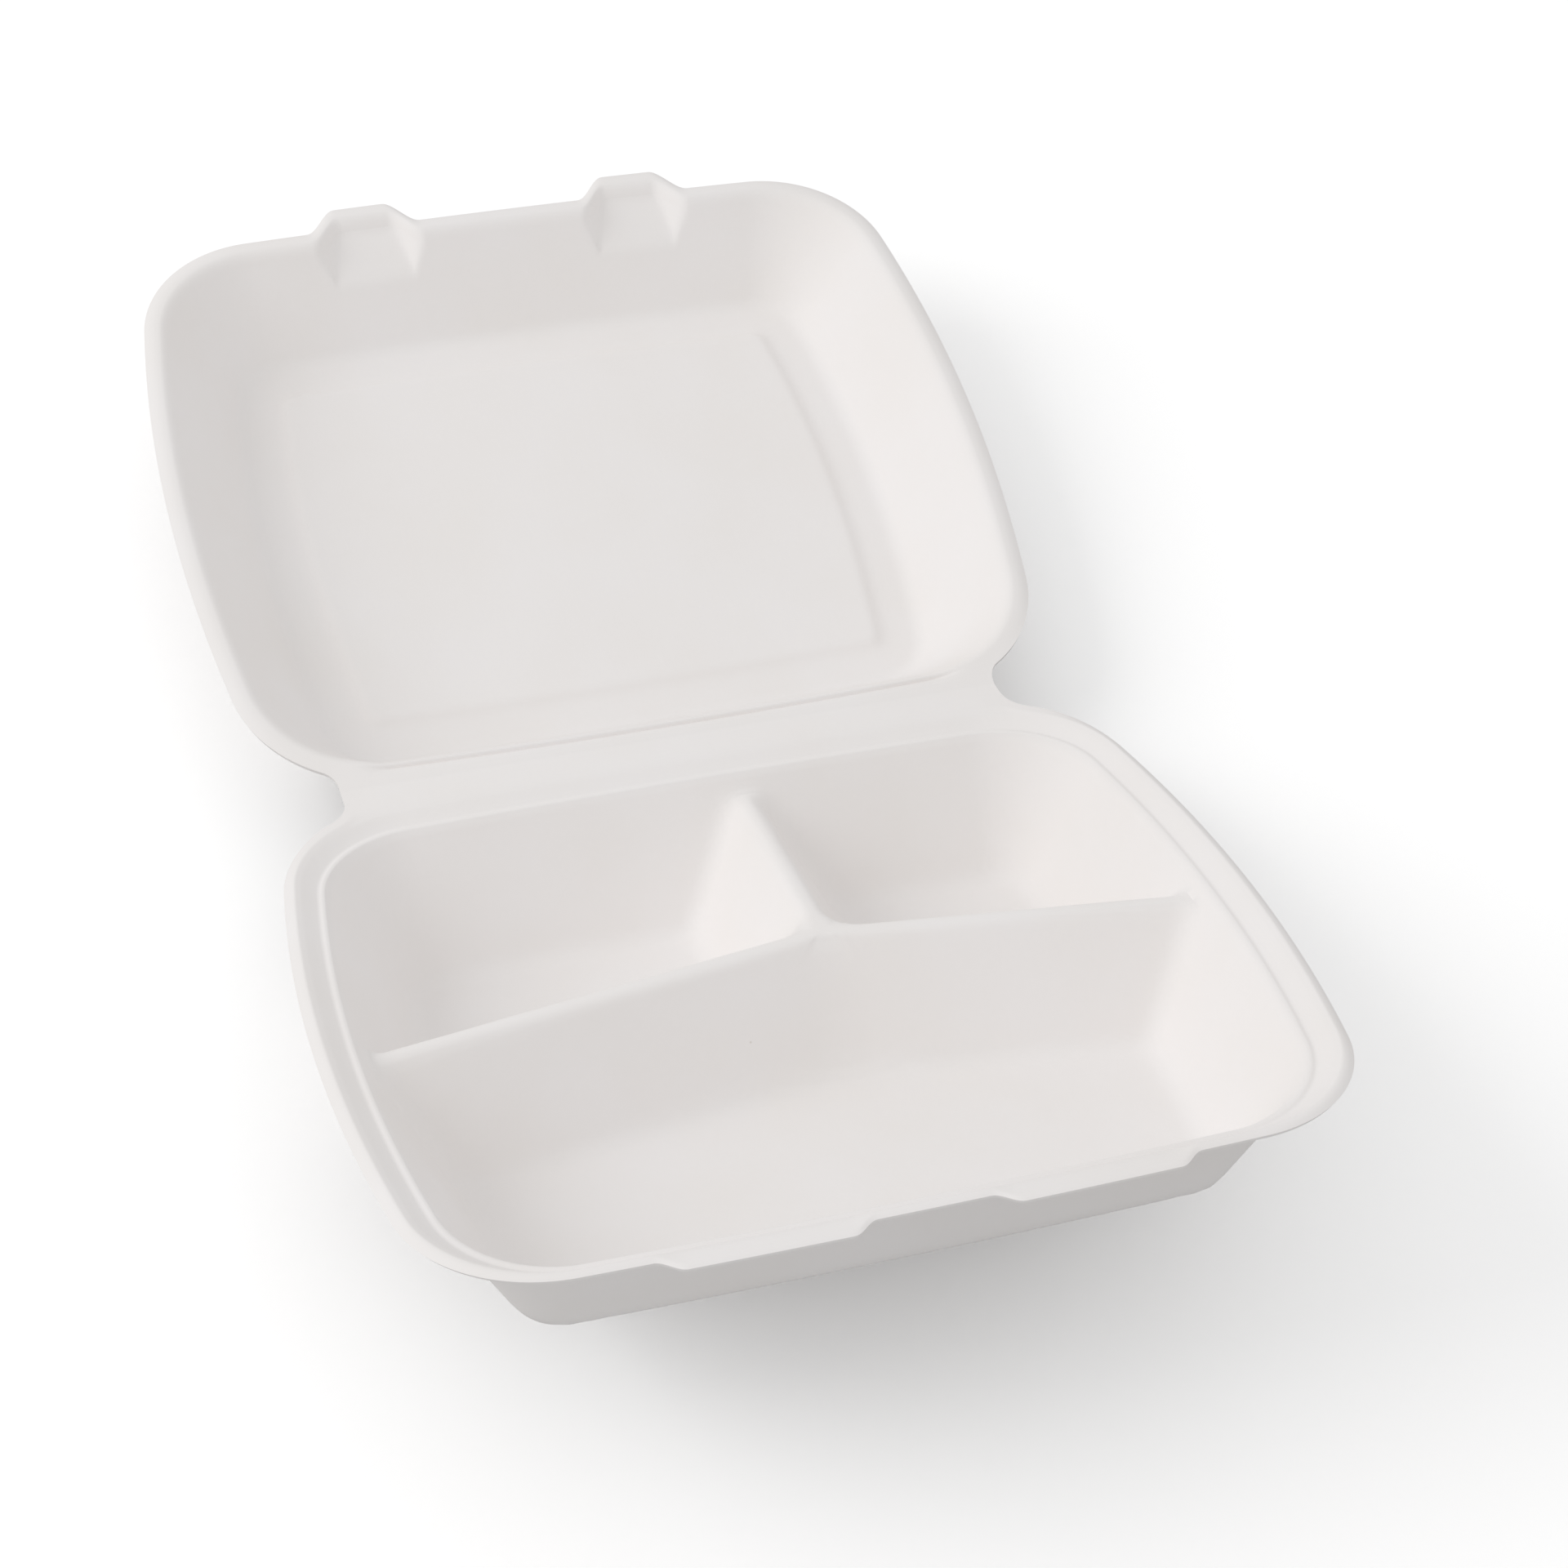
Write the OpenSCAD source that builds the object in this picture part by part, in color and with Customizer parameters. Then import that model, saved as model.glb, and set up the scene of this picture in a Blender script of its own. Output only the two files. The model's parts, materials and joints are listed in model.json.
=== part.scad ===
// Hinged food box with three compartments, moulded from one sheet of sugarcane fibre.
// It is shown with its lid laid back, tipped on to the lid as the empty box comes to rest.
// The base and the lid are two shells that meet at the fold line of the hinge strip.

/* [Box] */
// Width of the closed box, along the fold
box_w = 240; // [220:1:280]
// Depth of the closed box, from the front edge to the back edge
box_d = 205; // [180:1:240]
// Thickness of the moulded sheet
sheet = 1; // [0.7:0.1:1.4]
// Radius of the corners of the rim
corner_r = 37; // [30:1:44]
// How far the left and right sides bow out
side_bow = 11.5; // [6:0.5:15]
// How far the front and the back bow out
end_bow = 2.5; // [1:0.5:5]

/* [Base] */
// Height of the base's rim above its underside
base_h = 40; // [36:1:48]
// Slope of the base's walls from upright, in degrees
base_draft = 28; // [20:0.5:32]
// Radius where the walls and the dividers meet the floor
foot_r = 7; // [4:0.5:9]
// Width of the flange, from its outer edge to the groove
flange_w = 8.6; // [7:0.2:10]
// How far the outer edge of the flange turns down
edge_drop = 2; // [0.8:0.1:2.6]
// Depth of the groove inside the flange, below the flange's crest
groove_d = 3; // [1.5:0.1:4]
// Width of the bead between the groove and the wall
bead_w = 1.8; // [1.4:0.1:3]
// Height of the bead above the groove
bead_h = 0.5; // [0.2:0.1:1]

/* [Dividers] */
// Height of the dividers above the underside
divider_h = 32; // [26:1:36]
// Slope of the divider faces from upright, in degrees
divider_draft = 29; // [20:1:32]
// Radius of the rounded top of a divider
crest_r = 3.2; // [2:0.2:5]
// How far the meeting point of the dividers lies to the right of the middle
junction_x = 13; // [-20:1:25]
// How far that point lies behind the middle
junction_y = 19; // [5:1:28]
// Angle by which the two arms sweep forward, in degrees
arm_sweep = 9; // [2:1:14]
// Radius of the upright corners where the dividers meet the walls
pocket_r = 4.5; // [3:0.5:8]
// Radius of the upright corners between the stem and the arms
web_r = 9; // [5:0.5:12]
// Radius of the front compartment where the arms meet
junction_r = 30; // [15:1:60]

/* [Front tabs] */
// Distance between the middles of the two tabs
tab_gap = 77; // [64:1:90]
// Length of a tab along its straight edge
tab_l = 37.5; // [24:0.5:42]
// Length of the curved ramp at each end of a tab
tab_ramp = 6.5; // [3:0.5:9]
// How far a tab stands out from the flange
tab_out = 4; // [2:0.5:6]

/* [Lid] */
// Height of the lid above its rim
lid_h = 30; // [24:1:38]
// Slope of the lid's walls from upright, in degrees
lid_draft = 38; // [28:1:42]
// Width of the lid's lip
lip_w = 5.4; // [4:0.2:8]
// How far the outer edge of the lip turns back
lip_drop = 1.2; // [0.4:0.1:1.8]
// Radius where the lid's walls meet its top
lid_r = 6; // [4:0.5:9]
// Width of the flat border round the lid's panel
border_w = 8; // [5:0.5:14]
// Width of the sloped step round the panel
step_w = 3; // [1.5:0.1:4]
// Height of the step round the panel
step_h = 1.8; // [0.6:0.1:2]

/* [Latches] */
// Distance between the middles of the two latches
latch_gap = 88; // [70:1:100]
// Length of a latch along its outer edge
latch_l = 16.5; // [12:0.5:24]
// Length of the sloped facet at each end of a latch
latch_ramp = 8.5; // [5:0.5:11]
// How far a latch stands out from the lip
latch_out = 9; // [5:0.5:11]
// How far the latch runs up the lid's wall
latch_d = 9.5; // [7:0.5:14]

/* [Hinge] */
// Distance from the widest part of each side to the end of the hinge strip
notch_in = 27.5; // [24:0.5:29]
// Distance from the back edge of the base to the fold line
hinge_reach = 7; // [6:0.5:10]
// Distance from the back edge of the lid to the fold line
lid_reach = 1.5; // [1.5:0.5:5]
// Radius of the notches in the base's half of the hinge strip
notch_r = 11; // [6:0.5:12]
// Radius of the notches in the lid's half of the hinge strip
lid_notch_r = 7; // [5:0.5:8]
// Shortest straight end of the hinge strip beside a notch
straight_min = 0.5; // [0.3:0.1:0.8]
// Gap between the two halves at the fold line
fold_gap = 0.6; // [0.4:0.1:1]
// Gap between the two rims when the box is closed
close_gap = 0.4; // [0.3:0.1:1]
// Angle of the lid above the plane of the base's rim, in degrees
lid_angle = 22.5; // [10:0.5:40]

/* [Hidden] */
fibre_colour = [0.93, 0.92, 0.90];
half_w = box_w / 2;
half_d = box_d / 2;
// The four sides of the rim are arcs of two large circles
side_r = (half_d * half_d + side_bow * side_bow) / (2 * side_bow);
end_r = (half_w * half_w + end_bow * end_bow) / (2 * end_bow);
// Share of a ring's inset that its corner radius keeps, so that corners widen towards the floor
base_keep_share = 0.1;
lid_keep_share = 0.17;
// Distance from the middle of each half to the fold line, and length of the hinge strip
fold_y = half_d + hinge_reach;
strip_y = fold_y - fold_gap / 2;
hinge_l = box_w - 2 * notch_in;
// How far the lid's back edge lies nearer to the fold line than the base's
lid_shift = hinge_reach - lid_reach;
// How far a cutting body runs past what it cuts
overrun = 0.5;
// Outline steps: round corners, bowed sides, fillets and the upright corners of the compartments
corner_steps = 6;
side_steps = 6;
fillet_steps = 3;
notch_steps = 5;
pocket_steps = 4;
wall_steps = 5;
notch_shares = [0, 1/3, 2/3];
back_shares = [0.7, 0.3];
// Shape of the ramps at the ends of tabs and latches: place along the ramp, and height on it
ramp_shares = [0, 0.25, 0.5, 0.75, 1];
tab_rise_shares = [0, 0.1, 0.5, 0.9, 1];
latch_rise_shares = [0, 0.28, 0.58, 0.87, 1];
// Place and fall of the rounding at the outer edge of flange and lip
edge_in_share = 0.25;
edge_fall_share = 0.45;
crest_in_share = 0.55;
crest_fall_share = 0.1;
// The straight sides of the compartments are arcs of a very large circle
line_r_share = 40;
line_r = line_r_share * box_w;
// The dividers' flat top, left between the rounded edges
crest_flat_share = 0.12;
crest_flat = crest_flat_share * crest_r;
// The wall begins at the depth of the groove
wall_top = base_h - groove_d;
wall_in = flange_w + bead_w;
// The compartments' cutting bodies end in the middle of the wall's sheet
seat_share = 0.5;
wall_seat = seat_share * sheet;

// Circles, rings and profiles

// Where two circles cross, to the left of the way from the first centre to the second
function crossing(c1, r1, c2, r2) =
    let (way = c2 - c1, gap = norm(way), along = (r1 * r1 - r2 * r2 + gap * gap) / (2 * gap))
    let (off = sqrt(max(0, r1 * r1 - along * along)))
    c1 + (along * way + off * [-way.y, way.x]) / gap;

// Angle of a vector, and the turn from one angle to another counter-clockwise
function bearing(v) = atan2(v.y, v.x);
function turn(from, to) = (to - from + 720) % 360;

// Radius and centre of the back right corner at an inset from the rim's edge, never sharper than the sheet
function corner_radius(inset, keep_share) = max(sheet, corner_r - (1 - keep_share) * inset);
right_c = [half_w - side_r, 0];
back_c = [0, half_d - end_r];
function corner_centre(inset, keep_share) =
    let (r = corner_radius(inset, keep_share))
    crossing(right_c, side_r - inset - r, back_c, end_r - inset - r);

// Angles at which the corner meets the right side and the back
function side_angle(inset, keep_share) = bearing(corner_centre(inset, keep_share) - right_c);
function end_angle(inset, keep_share) = bearing(corner_centre(inset, keep_share) - back_c);

function end_point(share, inset, keep_share) =
    let (x = share * (end_r - inset) * cos(end_angle(inset, keep_share)))
    [x, back_c.y + sqrt((end_r - inset) * (end_r - inset) - x * x)];
function corner_point(share, inset, keep_share) =
    let (from = side_angle(inset, keep_share), a = from + share * (end_angle(inset, keep_share) - from))
    corner_centre(inset, keep_share) + corner_radius(inset, keep_share) * [cos(a), sin(a)];
function side_point(share, inset, keep_share) =
    let (a = share * side_angle(inset, keep_share))
    right_c + (side_r - inset) * [cos(a), sin(a)];
function flip_y(p) = [p.x, -p.y];
function between(a, b, steps, first = 0) = [for (k = [first:steps]) a + (b - a) * k / steps];

// Power with which the lid is drawn out towards the fold line
draw_power = 3;

// The back of each half: radius of its notches, furthest place of their middles, shift of its back edge, and
// share of the inset that its corners keep
base_back = [notch_r, strip_y - straight_min, 0, base_keep_share];
lid_straight = (lid_reach - fold_gap / 2) / (1 + draw_power * lid_shift / half_d);
lid_back = [lid_notch_r, half_d + lid_straight - straight_min, lid_shift, lid_keep_share];

// A point of a ring, drawn out towards the fold line in the back half, most of all at the back edge
function drawn(p, inset, back) = [p.x, p.y + back[2] * pow(max(0, p.y) / (half_d - inset), draw_power)];

// The notch's circle touches the end of the strip and the round corner
rim_corner = corner_centre(0, base_keep_share);
rim_from = side_angle(0, base_keep_share);
corner_span = end_angle(0, base_keep_share) - rim_from;
function notch_centre(back) =
    let (x = hinge_l / 2 + back[0], far = corner_r + back[0])
    [x, min(back[1], rim_corner.y + sqrt(far * far - pow(x - rim_corner.x, 2)))];
function touch_share(back) = (bearing(notch_centre(back) - rim_corner) - rim_from) / corner_span;
strip_share = (acos((hinge_l / 2 - rim_corner.x) / corner_r) - rim_from) / corner_span;
function corner_shares(back) = concat(
    [for (s = notch_shares) s * touch_share(back)],
    between(touch_share(back), strip_share, notch_steps),
    between(strip_share, 1, fillet_steps, 1));

// Where each point of the back right corner goes to make the notch and the strip
function notch_point(i, share, back) =
    let (k = i - len(notch_shares), p = corner_point(share, 0, back[3]), mid = notch_centre(back))
    let (from = bearing(rim_corner - mid), a = from - turn(180, from) * k / notch_steps)
    k < 0 ? drawn(p, 0, back) :
    k <= notch_steps ? drawn(mid + back[0] * [cos(a), sin(a)], 0, back) :
    k == notch_steps + 1 ? [hinge_l / 2, strip_y] : [p.x, strip_y];

// Half of a ring, from the front round the right side to the back
function half_ring(inset, front, back) =
    let (plain = concat(
        [for (x = front) flip_y(end_point(x / rim_end_x, inset, back[3]))],
        [for (s = between(1, 0, corner_steps)) flip_y(corner_point(s, inset, back[3]))],
        [for (k = [1:side_steps - 1]) side_point(2 * k / side_steps - 1, inset, back[3])],
        [for (s = corner_shares(back)) corner_point(s, inset, back[3])],
        [for (s = back_shares) end_point(s, inset, back[3])]))
    [for (p = plain) drawn(p, inset, back)];
rim_end_x = end_r * cos(end_angle(0, base_keep_share));

// How far each point of the outer edge moves for the tabs or latches in front, and for the strip behind
plain_count = corner_steps + side_steps;
back_count = len(corner_shares(base_back)) + len(back_shares);
function front_moves(out) = concat(
    [for (o = out) [0, -o]],
    [for (k = [1:plain_count + back_count]) [0, 0]]);
function back_moves(front_count, back) =
    let (shares = corner_shares(back))
    concat(
        [for (k = [1:front_count + plain_count]) [0, 0]],
        [for (i = [0:len(shares) - 1])
            notch_point(i, shares[i], back) - drawn(corner_point(shares[i], 0, back[3]), 0, back)],
        [for (s = back_shares) [0, strip_y - drawn(end_point(s, 0, back[3]), 0, back).y]]);

// The turned-down edge fades out along the back corners and is flat along the strip
function drop_shares(front_count, back) = concat(
    [for (k = [1:front_count + plain_count]) 1],
    [for (s = corner_shares(back)) max(0, 1 - s / touch_share(back))],
    [for (s = back_shares) 0]);

// Places of a bump's points along the front, and how far each stands out
function bump_places(mid, crest, ramp) = concat(
    [for (k = ramp_shares) mid - crest / 2 - ramp * (1 - k)],
    [for (k = ramp_shares) mid + crest / 2 + ramp * k]);
function bump_out(out, shares) = concat(
    [for (k = shares) out * k],
    [for (i = [len(shares) - 1:-1:0]) out * shares[i]]);

// A whole ring in space for one profile point: inset, height, drop, share of the front and of the back moves
function ring(point, places, out, back) =
    let (plain = half_ring(point[0], places, back), drops = drop_shares(len(places), back))
    let (front = front_moves(out), rear = back_moves(len(places), back))
    let (half = [for (i = [0:len(plain) - 1]) plain[i] + point[3] * front[i] + point[4] * rear[i]])
    let (heights = [for (d = drops) point[1] - point[2] * d])
    concat(
        [for (i = [0:len(half) - 1]) [half[i].x, half[i].y, heights[i]]],
        [for (i = [len(half) - 1:-1:0]) [-half[i].x, half[i].y, heights[i]]]);

// Points of a fillet between a sloped wall and a flat floor, as distance and height
function foot(corner, radius, draft) =
    let (sweep = 90 - draft, mid = corner + radius * [tan(sweep / 2), 1])
    [for (a = between(sweep, 0, fillet_steps)) mid - radius * [sin(a), cos(a)]];

// A profile moved by the sheet's thickness to its outer side
function outward(profile, i) =
    i == 0 || i == len(profile) - 1 ? [0, -1] :
    let (way = profile[i + 1] - profile[i - 1])
    [way[1], -way[0]] / norm([way[0], way[1]]);
function moved_out(profile, by) = [
    for (i = [0:len(profile) - 1])
    concat([profile[i][0], profile[i][1]] + by * outward(profile, i),
           [for (k = [2:1:len(profile[i]) - 1]) profile[i][k]])];

function reversed(list) = [for (i = [len(list) - 1:-1:0]) list[i]];

// Base profile

wall_run = (wall_top - sheet) * tan(base_draft);
base_foot = foot([wall_in + wall_run, sheet], foot_r, base_draft);
base_inner = concat(
    [[0, base_h, edge_drop, 1, 1],
     [edge_in_share * flange_w, base_h, edge_fall_share * edge_drop, 1, 1],
     [crest_in_share * flange_w, base_h, crest_fall_share * edge_drop, 0, 0],
     [flange_w, wall_top, 0, 0, 0],
     [flange_w + bead_w / 2, wall_top + bead_h, 0, 0, 0],
     [wall_in, wall_top, 0, 0, 0]],
    [for (p = base_foot) concat(p, [0, 0, 0])]);
base_outer = moved_out(base_inner, sheet);
tab_places = bump_places(tab_gap / 2, tab_l, tab_ramp);
tab_moves = bump_out(tab_out, tab_rise_shares);
base_profile = concat(reversed(base_outer), base_inner);
base_rings = [for (p = base_profile) ring(p, tab_places, tab_moves, base_back)];

// Lid profile, with the lid lying open side up and its rim at height 0

lid_top = -lip_drop;
lid_floor = sheet - lid_h;
lid_run = (lid_top - lid_floor) * tan(lid_draft);
latch_in = lip_w + latch_d * tan(lid_draft);
lid_foot = foot([lip_w + lid_run, lid_floor], lid_r, lid_draft);
border_in = lid_foot[fillet_steps][0] + border_w;
lid_inner = concat(
    [[0, 0, lip_drop, 1, 1],
     [edge_in_share * lip_w, 0, edge_fall_share * lip_drop, 1, 1],
     [crest_in_share * lip_w, 0, crest_fall_share * lip_drop, 1, 0],
     [lip_w, lid_top, 0, 1, 0],
     [latch_in, lid_top - latch_d, 0, 0, 0]],
    [for (p = lid_foot) concat(p, [0, 0, 0])],
    [[border_in, lid_floor, 0, 0, 0],
     [border_in + step_w, lid_floor + step_h, 0, 0, 0]]);
lid_outer = moved_out(lid_inner, sheet);
latch_places = bump_places(latch_gap / 2, latch_l, latch_ramp);
latch_moves = bump_out(latch_out, latch_rise_shares);
lid_profile = concat(reversed(lid_outer), lid_inner);
lid_rings = [for (p = lid_profile) ring(p, latch_places, latch_moves, lid_back)];

// Divider profile, as distance from the divider's middle line and height

divider_sweep = 90 - divider_draft;
crest_edge = [crest_flat + crest_r * sin(divider_sweep), divider_h - crest_r * (1 - cos(divider_sweep))];
divider_run = (crest_edge[1] - sheet) * tan(divider_draft);
divider_inner = concat(
    [for (a = between(0, divider_sweep, fillet_steps))
        [crest_flat + crest_r * sin(a), divider_h - crest_r * (1 - cos(a))]],
    foot([crest_edge[0] + divider_run, sheet], foot_r, divider_draft));
divider_outer = moved_out(divider_inner, sheet);
junction = [junction_x, junction_y];

// Sides of a compartment, each a circle with the compartment inside it: centre and radius
function wall_inset(z, grow) =
    wall_in + (wall_top - z) * tan(base_draft) - grow / cos(base_draft) - wall_seat;
function front_side(inset) = [-back_c, end_r - inset];
function right_side(inset) = [right_c, side_r - inset];
function back_side(inset) = [back_c, end_r - inset];
function left_side(inset) = [-right_c, side_r - inset];
function divider_side(heading, away) = [junction + line_r * [-sin(heading), cos(heading)], line_r - away];

// Each compartment's sides and the radii between them, counter-clockwise
front_room = 0;
left_room = 1;
right_room = 2;
rooms = [front_room, left_room, right_room];
function room_sides(room, inset, away) =
    room == front_room ? [front_side(inset), right_side(inset), divider_side(180 - arm_sweep, away),
                          divider_side(180 + arm_sweep, away), left_side(inset)] :
    room == left_room ? [divider_side(arm_sweep, away), divider_side(90, away),
                         back_side(inset), left_side(inset)] :
    [divider_side(-arm_sweep, away), right_side(inset), back_side(inset), divider_side(270, away)];

// Radii of a compartment's upright corners, of which the outer ones follow the walls
function room_radii(room, inset) =
    let (r = corner_radius(inset, base_keep_share))
    room == front_room ? [r, pocket_r, junction_r, pocket_r, r] :
    room == left_room ? [web_r, pocket_r, r, pocket_r] : [pocket_r, r, pocket_r, web_r];

// Outline of a compartment at one height
function room_outline(sides, radii) =
    let (n = len(sides))
    let (mids = [for (i = [0:n - 1])
        let (j = (i + 1) % n)
        crossing(sides[i][0], sides[i][1] - radii[i], sides[j][0], sides[j][1] - radii[i])])
    [for (i = [0:n - 1])
        let (j = (i + 1) % n, from = bearing(mids[i] - sides[i][0]), to = bearing(mids[i] - sides[j][0]))
        let (next = bearing(mids[j] - sides[j][0]))
        each concat(
            [for (s = between(0, 1, pocket_steps)) let (a = from + s * turn(from, to))
                mids[i] + radii[i] * [cos(a), sin(a)]],
            [for (k = [1:wall_steps - 1]) let (a = to + turn(to, next) * k / wall_steps)
                sides[j][0] + sides[j][1] * [cos(a), sin(a)]])];
function room_ring(room, point, z, grow) =
    let (inset = wall_inset(z, grow))
    let (outline = room_outline(room_sides(room, inset, point[0]), room_radii(room, inset)))
    [for (p = outline) [p.x, p.y, z]];

// Rest on a table: the whole box tips back until the lid's top touches the table too

function lid_placed(p) =
    let (y = fold_y - p.y, z = p.z - close_gap / 2)
    [-p.x, fold_y + y * cos(lid_angle) - z * sin(lid_angle),
     base_h + close_gap / 2 + y * sin(lid_angle) + z * cos(lid_angle)];
base_under = [for (r = base_rings) each r];
lid_under = [for (r = lid_rings) each [for (p = r) lid_placed(p)]];
function tipped_y(p, tip) = p.y * cos(tip) + p.z * sin(tip);
function tipped_z(p, tip) = p.z * cos(tip) - p.y * sin(tip);
function lowest(points, tip) = min([for (p = points) tipped_z(p, tip)]);
function settled(low, high, steps) =
    let (mid = (low + high) / 2)
    steps == 0 ? mid :
    lowest(base_under, mid) < lowest(lid_under, mid) ? settled(mid, high, steps - 1) :
    settled(low, mid, steps - 1);
tip_limit = 60;
tip_steps = 24;
tip = settled(0, tip_limit, tip_steps);
table_z = lowest(base_under, tip);
front_y = min([for (p = base_under) tipped_y(p, tip)]);
rear_y = max([for (p = lid_under) tipped_y(p, tip)]);

module placed() {
    translate([0, -(front_y + rear_y) / 2, -table_z])
        rotate([-tip, 0, 0])
            children();
}

// Solids

// A closed shell through rings of equal length, with a flat cap at each end
module shell(rings) {
    n = len(rings[0]);
    last = (len(rings) - 1) * n;
    walls = [for (j = [0:len(rings) - 2], i = [0:n - 1])
        let (a = j * n + i, b = j * n + (i + 1) % n)
        each [[a, a + n, b + n], [a, b + n, b]]];
    caps = [[for (i = [0:n - 1]) i], [for (i = [n - 1:-1:0]) last + i]];
    polyhedron(points = [for (r = rings) each r], faces = concat(walls, caps), convexity = 8);
}

// A convex stack of outlines, each joined to the next
module stack(rings) {
    for (k = [0:len(rings) - 2]) {
        n = len(rings[k]);
        m = len(rings[k + 1]);
        hull() polyhedron(
            points = concat(rings[k], rings[k + 1]),
            faces = [[for (i = [0:n - 1]) i], [for (i = [n + m - 1:-1:n]) i]]);
    }
}

// The inside of one compartment, run past its open top and its floor
module room_space(room, profile, grow, below) {
    last = profile[len(profile) - 1];
    stack(concat(
        [room_ring(room, profile[0], profile[0][1] + overrun, grow)],
        [for (p = profile) room_ring(room, p, p[1], grow)],
        [room_ring(room, last, below - overrun, grow)]));
}

module slab(low, high) {
    translate([-half_w, -half_d, low])
        cube([box_w, box_d, high - low]);
}

// The dividers as solid walls, trimmed to the middle of the tray's sheet
module divider_walls() {
    middle = moved_out(base_inner, sheet / 2);
    feet = [for (k = [len(middle) - 1 - fillet_steps:len(middle) - 1]) middle[k]];
    rim = [wall_inset(divider_h, 0), divider_h, 0, 0, 0];
    intersection() {
        hull()
            shell([for (p = concat(reversed(feet), [rim])) ring(p, tab_places, tab_moves, base_back)]);
        difference() {
            slab(sheet / 2, divider_h);
            for (room = rooms)
                room_space(room, divider_inner, 0, sheet / 2);
        }
    }
}

// The hollow under the dividers, open below and at the ends
module divider_hollow() {
    difference() {
        slab(-overrun, divider_h - sheet);
        for (room = rooms)
            room_space(room, divider_outer, sheet, -overrun);
    }
}

module base() {
    color(fibre_colour)
        placed()
            difference() {
                union() {
                    shell(base_rings);
                    divider_walls();
                }
                divider_hollow();
            }
}

module lid() {
    color(fibre_colour)
        placed()
            translate([0, fold_y, base_h + close_gap / 2])
                rotate([lid_angle, 0, 0])
                    translate([0, fold_y, -close_gap / 2])
                        rotate([0, 0, 180])
                            shell(lid_rings);
}

base();
lid();
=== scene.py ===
"""Looks of an open moulded-fibre food box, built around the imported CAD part.

The box is one sheet of pressed sugarcane fibre: a base with three compartments, a lid with a
raised panel, and the hinge strip between them. Each half is modelled as a fine sheet: a circle of
stations round the rim is extruded row by row, the rows are laid on the moulded surface, and the
sheet is then thickened. All sizes are in millimetres in the frame of the base or of the lid, and
are turned into the row frame, in metres, when a sheet is laid.
"""

from __future__ import annotations

import json
import logging
import math
from dataclasses import dataclass
from enum import Enum
from typing import Any, Callable, NamedTuple, Sequence

import bpy
import numpy as np
from mathutils import Matrix, Vector


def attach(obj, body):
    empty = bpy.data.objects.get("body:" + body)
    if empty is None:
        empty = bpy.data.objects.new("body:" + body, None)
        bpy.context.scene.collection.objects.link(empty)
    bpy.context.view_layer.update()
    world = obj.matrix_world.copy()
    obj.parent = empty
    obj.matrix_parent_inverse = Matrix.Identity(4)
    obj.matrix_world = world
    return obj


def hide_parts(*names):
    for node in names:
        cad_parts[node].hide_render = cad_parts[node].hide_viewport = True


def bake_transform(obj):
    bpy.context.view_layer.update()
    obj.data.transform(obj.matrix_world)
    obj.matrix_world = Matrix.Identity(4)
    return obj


LOG = logging.getLogger("clamshell")
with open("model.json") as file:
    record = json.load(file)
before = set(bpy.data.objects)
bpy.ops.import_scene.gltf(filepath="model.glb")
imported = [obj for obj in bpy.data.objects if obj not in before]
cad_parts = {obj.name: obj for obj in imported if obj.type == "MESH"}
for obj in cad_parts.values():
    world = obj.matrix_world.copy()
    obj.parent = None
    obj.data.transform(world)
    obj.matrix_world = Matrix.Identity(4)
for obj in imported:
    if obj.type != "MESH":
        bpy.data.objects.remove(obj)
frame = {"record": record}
MM = 0.001
INSET_HALVINGS = 40  # Steps that narrow down the inset of a point
HEIGHT_HALVINGS = 34  # Steps that narrow down the height of the base at a point
FAR = 1e3  # Distance from a divider at heights where there is none
SMOOTH_ANGLE = math.radians(50)  # Flatter edges than this are shaded smooth


class Segment(Enum):
    """Stretches of half a rim, from the middle of the front round the right side to the back."""

    FRONT = 0
    FRONT_CORNER = 1
    SIDE = 2
    BACK_CORNER = 3
    BACK = 4


class Body(Enum):
    """CAD bodies that the pieces ride on."""

    BASE = "base"
    LID = "lid"


# Shape of the rim and of the moulded profiles


def smooth(share: np.ndarray) -> np.ndarray:
    """Shares from 0 to 1, eased at both ends."""
    return share * share * (3 - 2 * share)


def middles(count: int) -> np.ndarray:
    """Shares at the middles of even steps, from nearly 0 to nearly 1."""
    return (np.arange(count) + 0.5) / count


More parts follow.
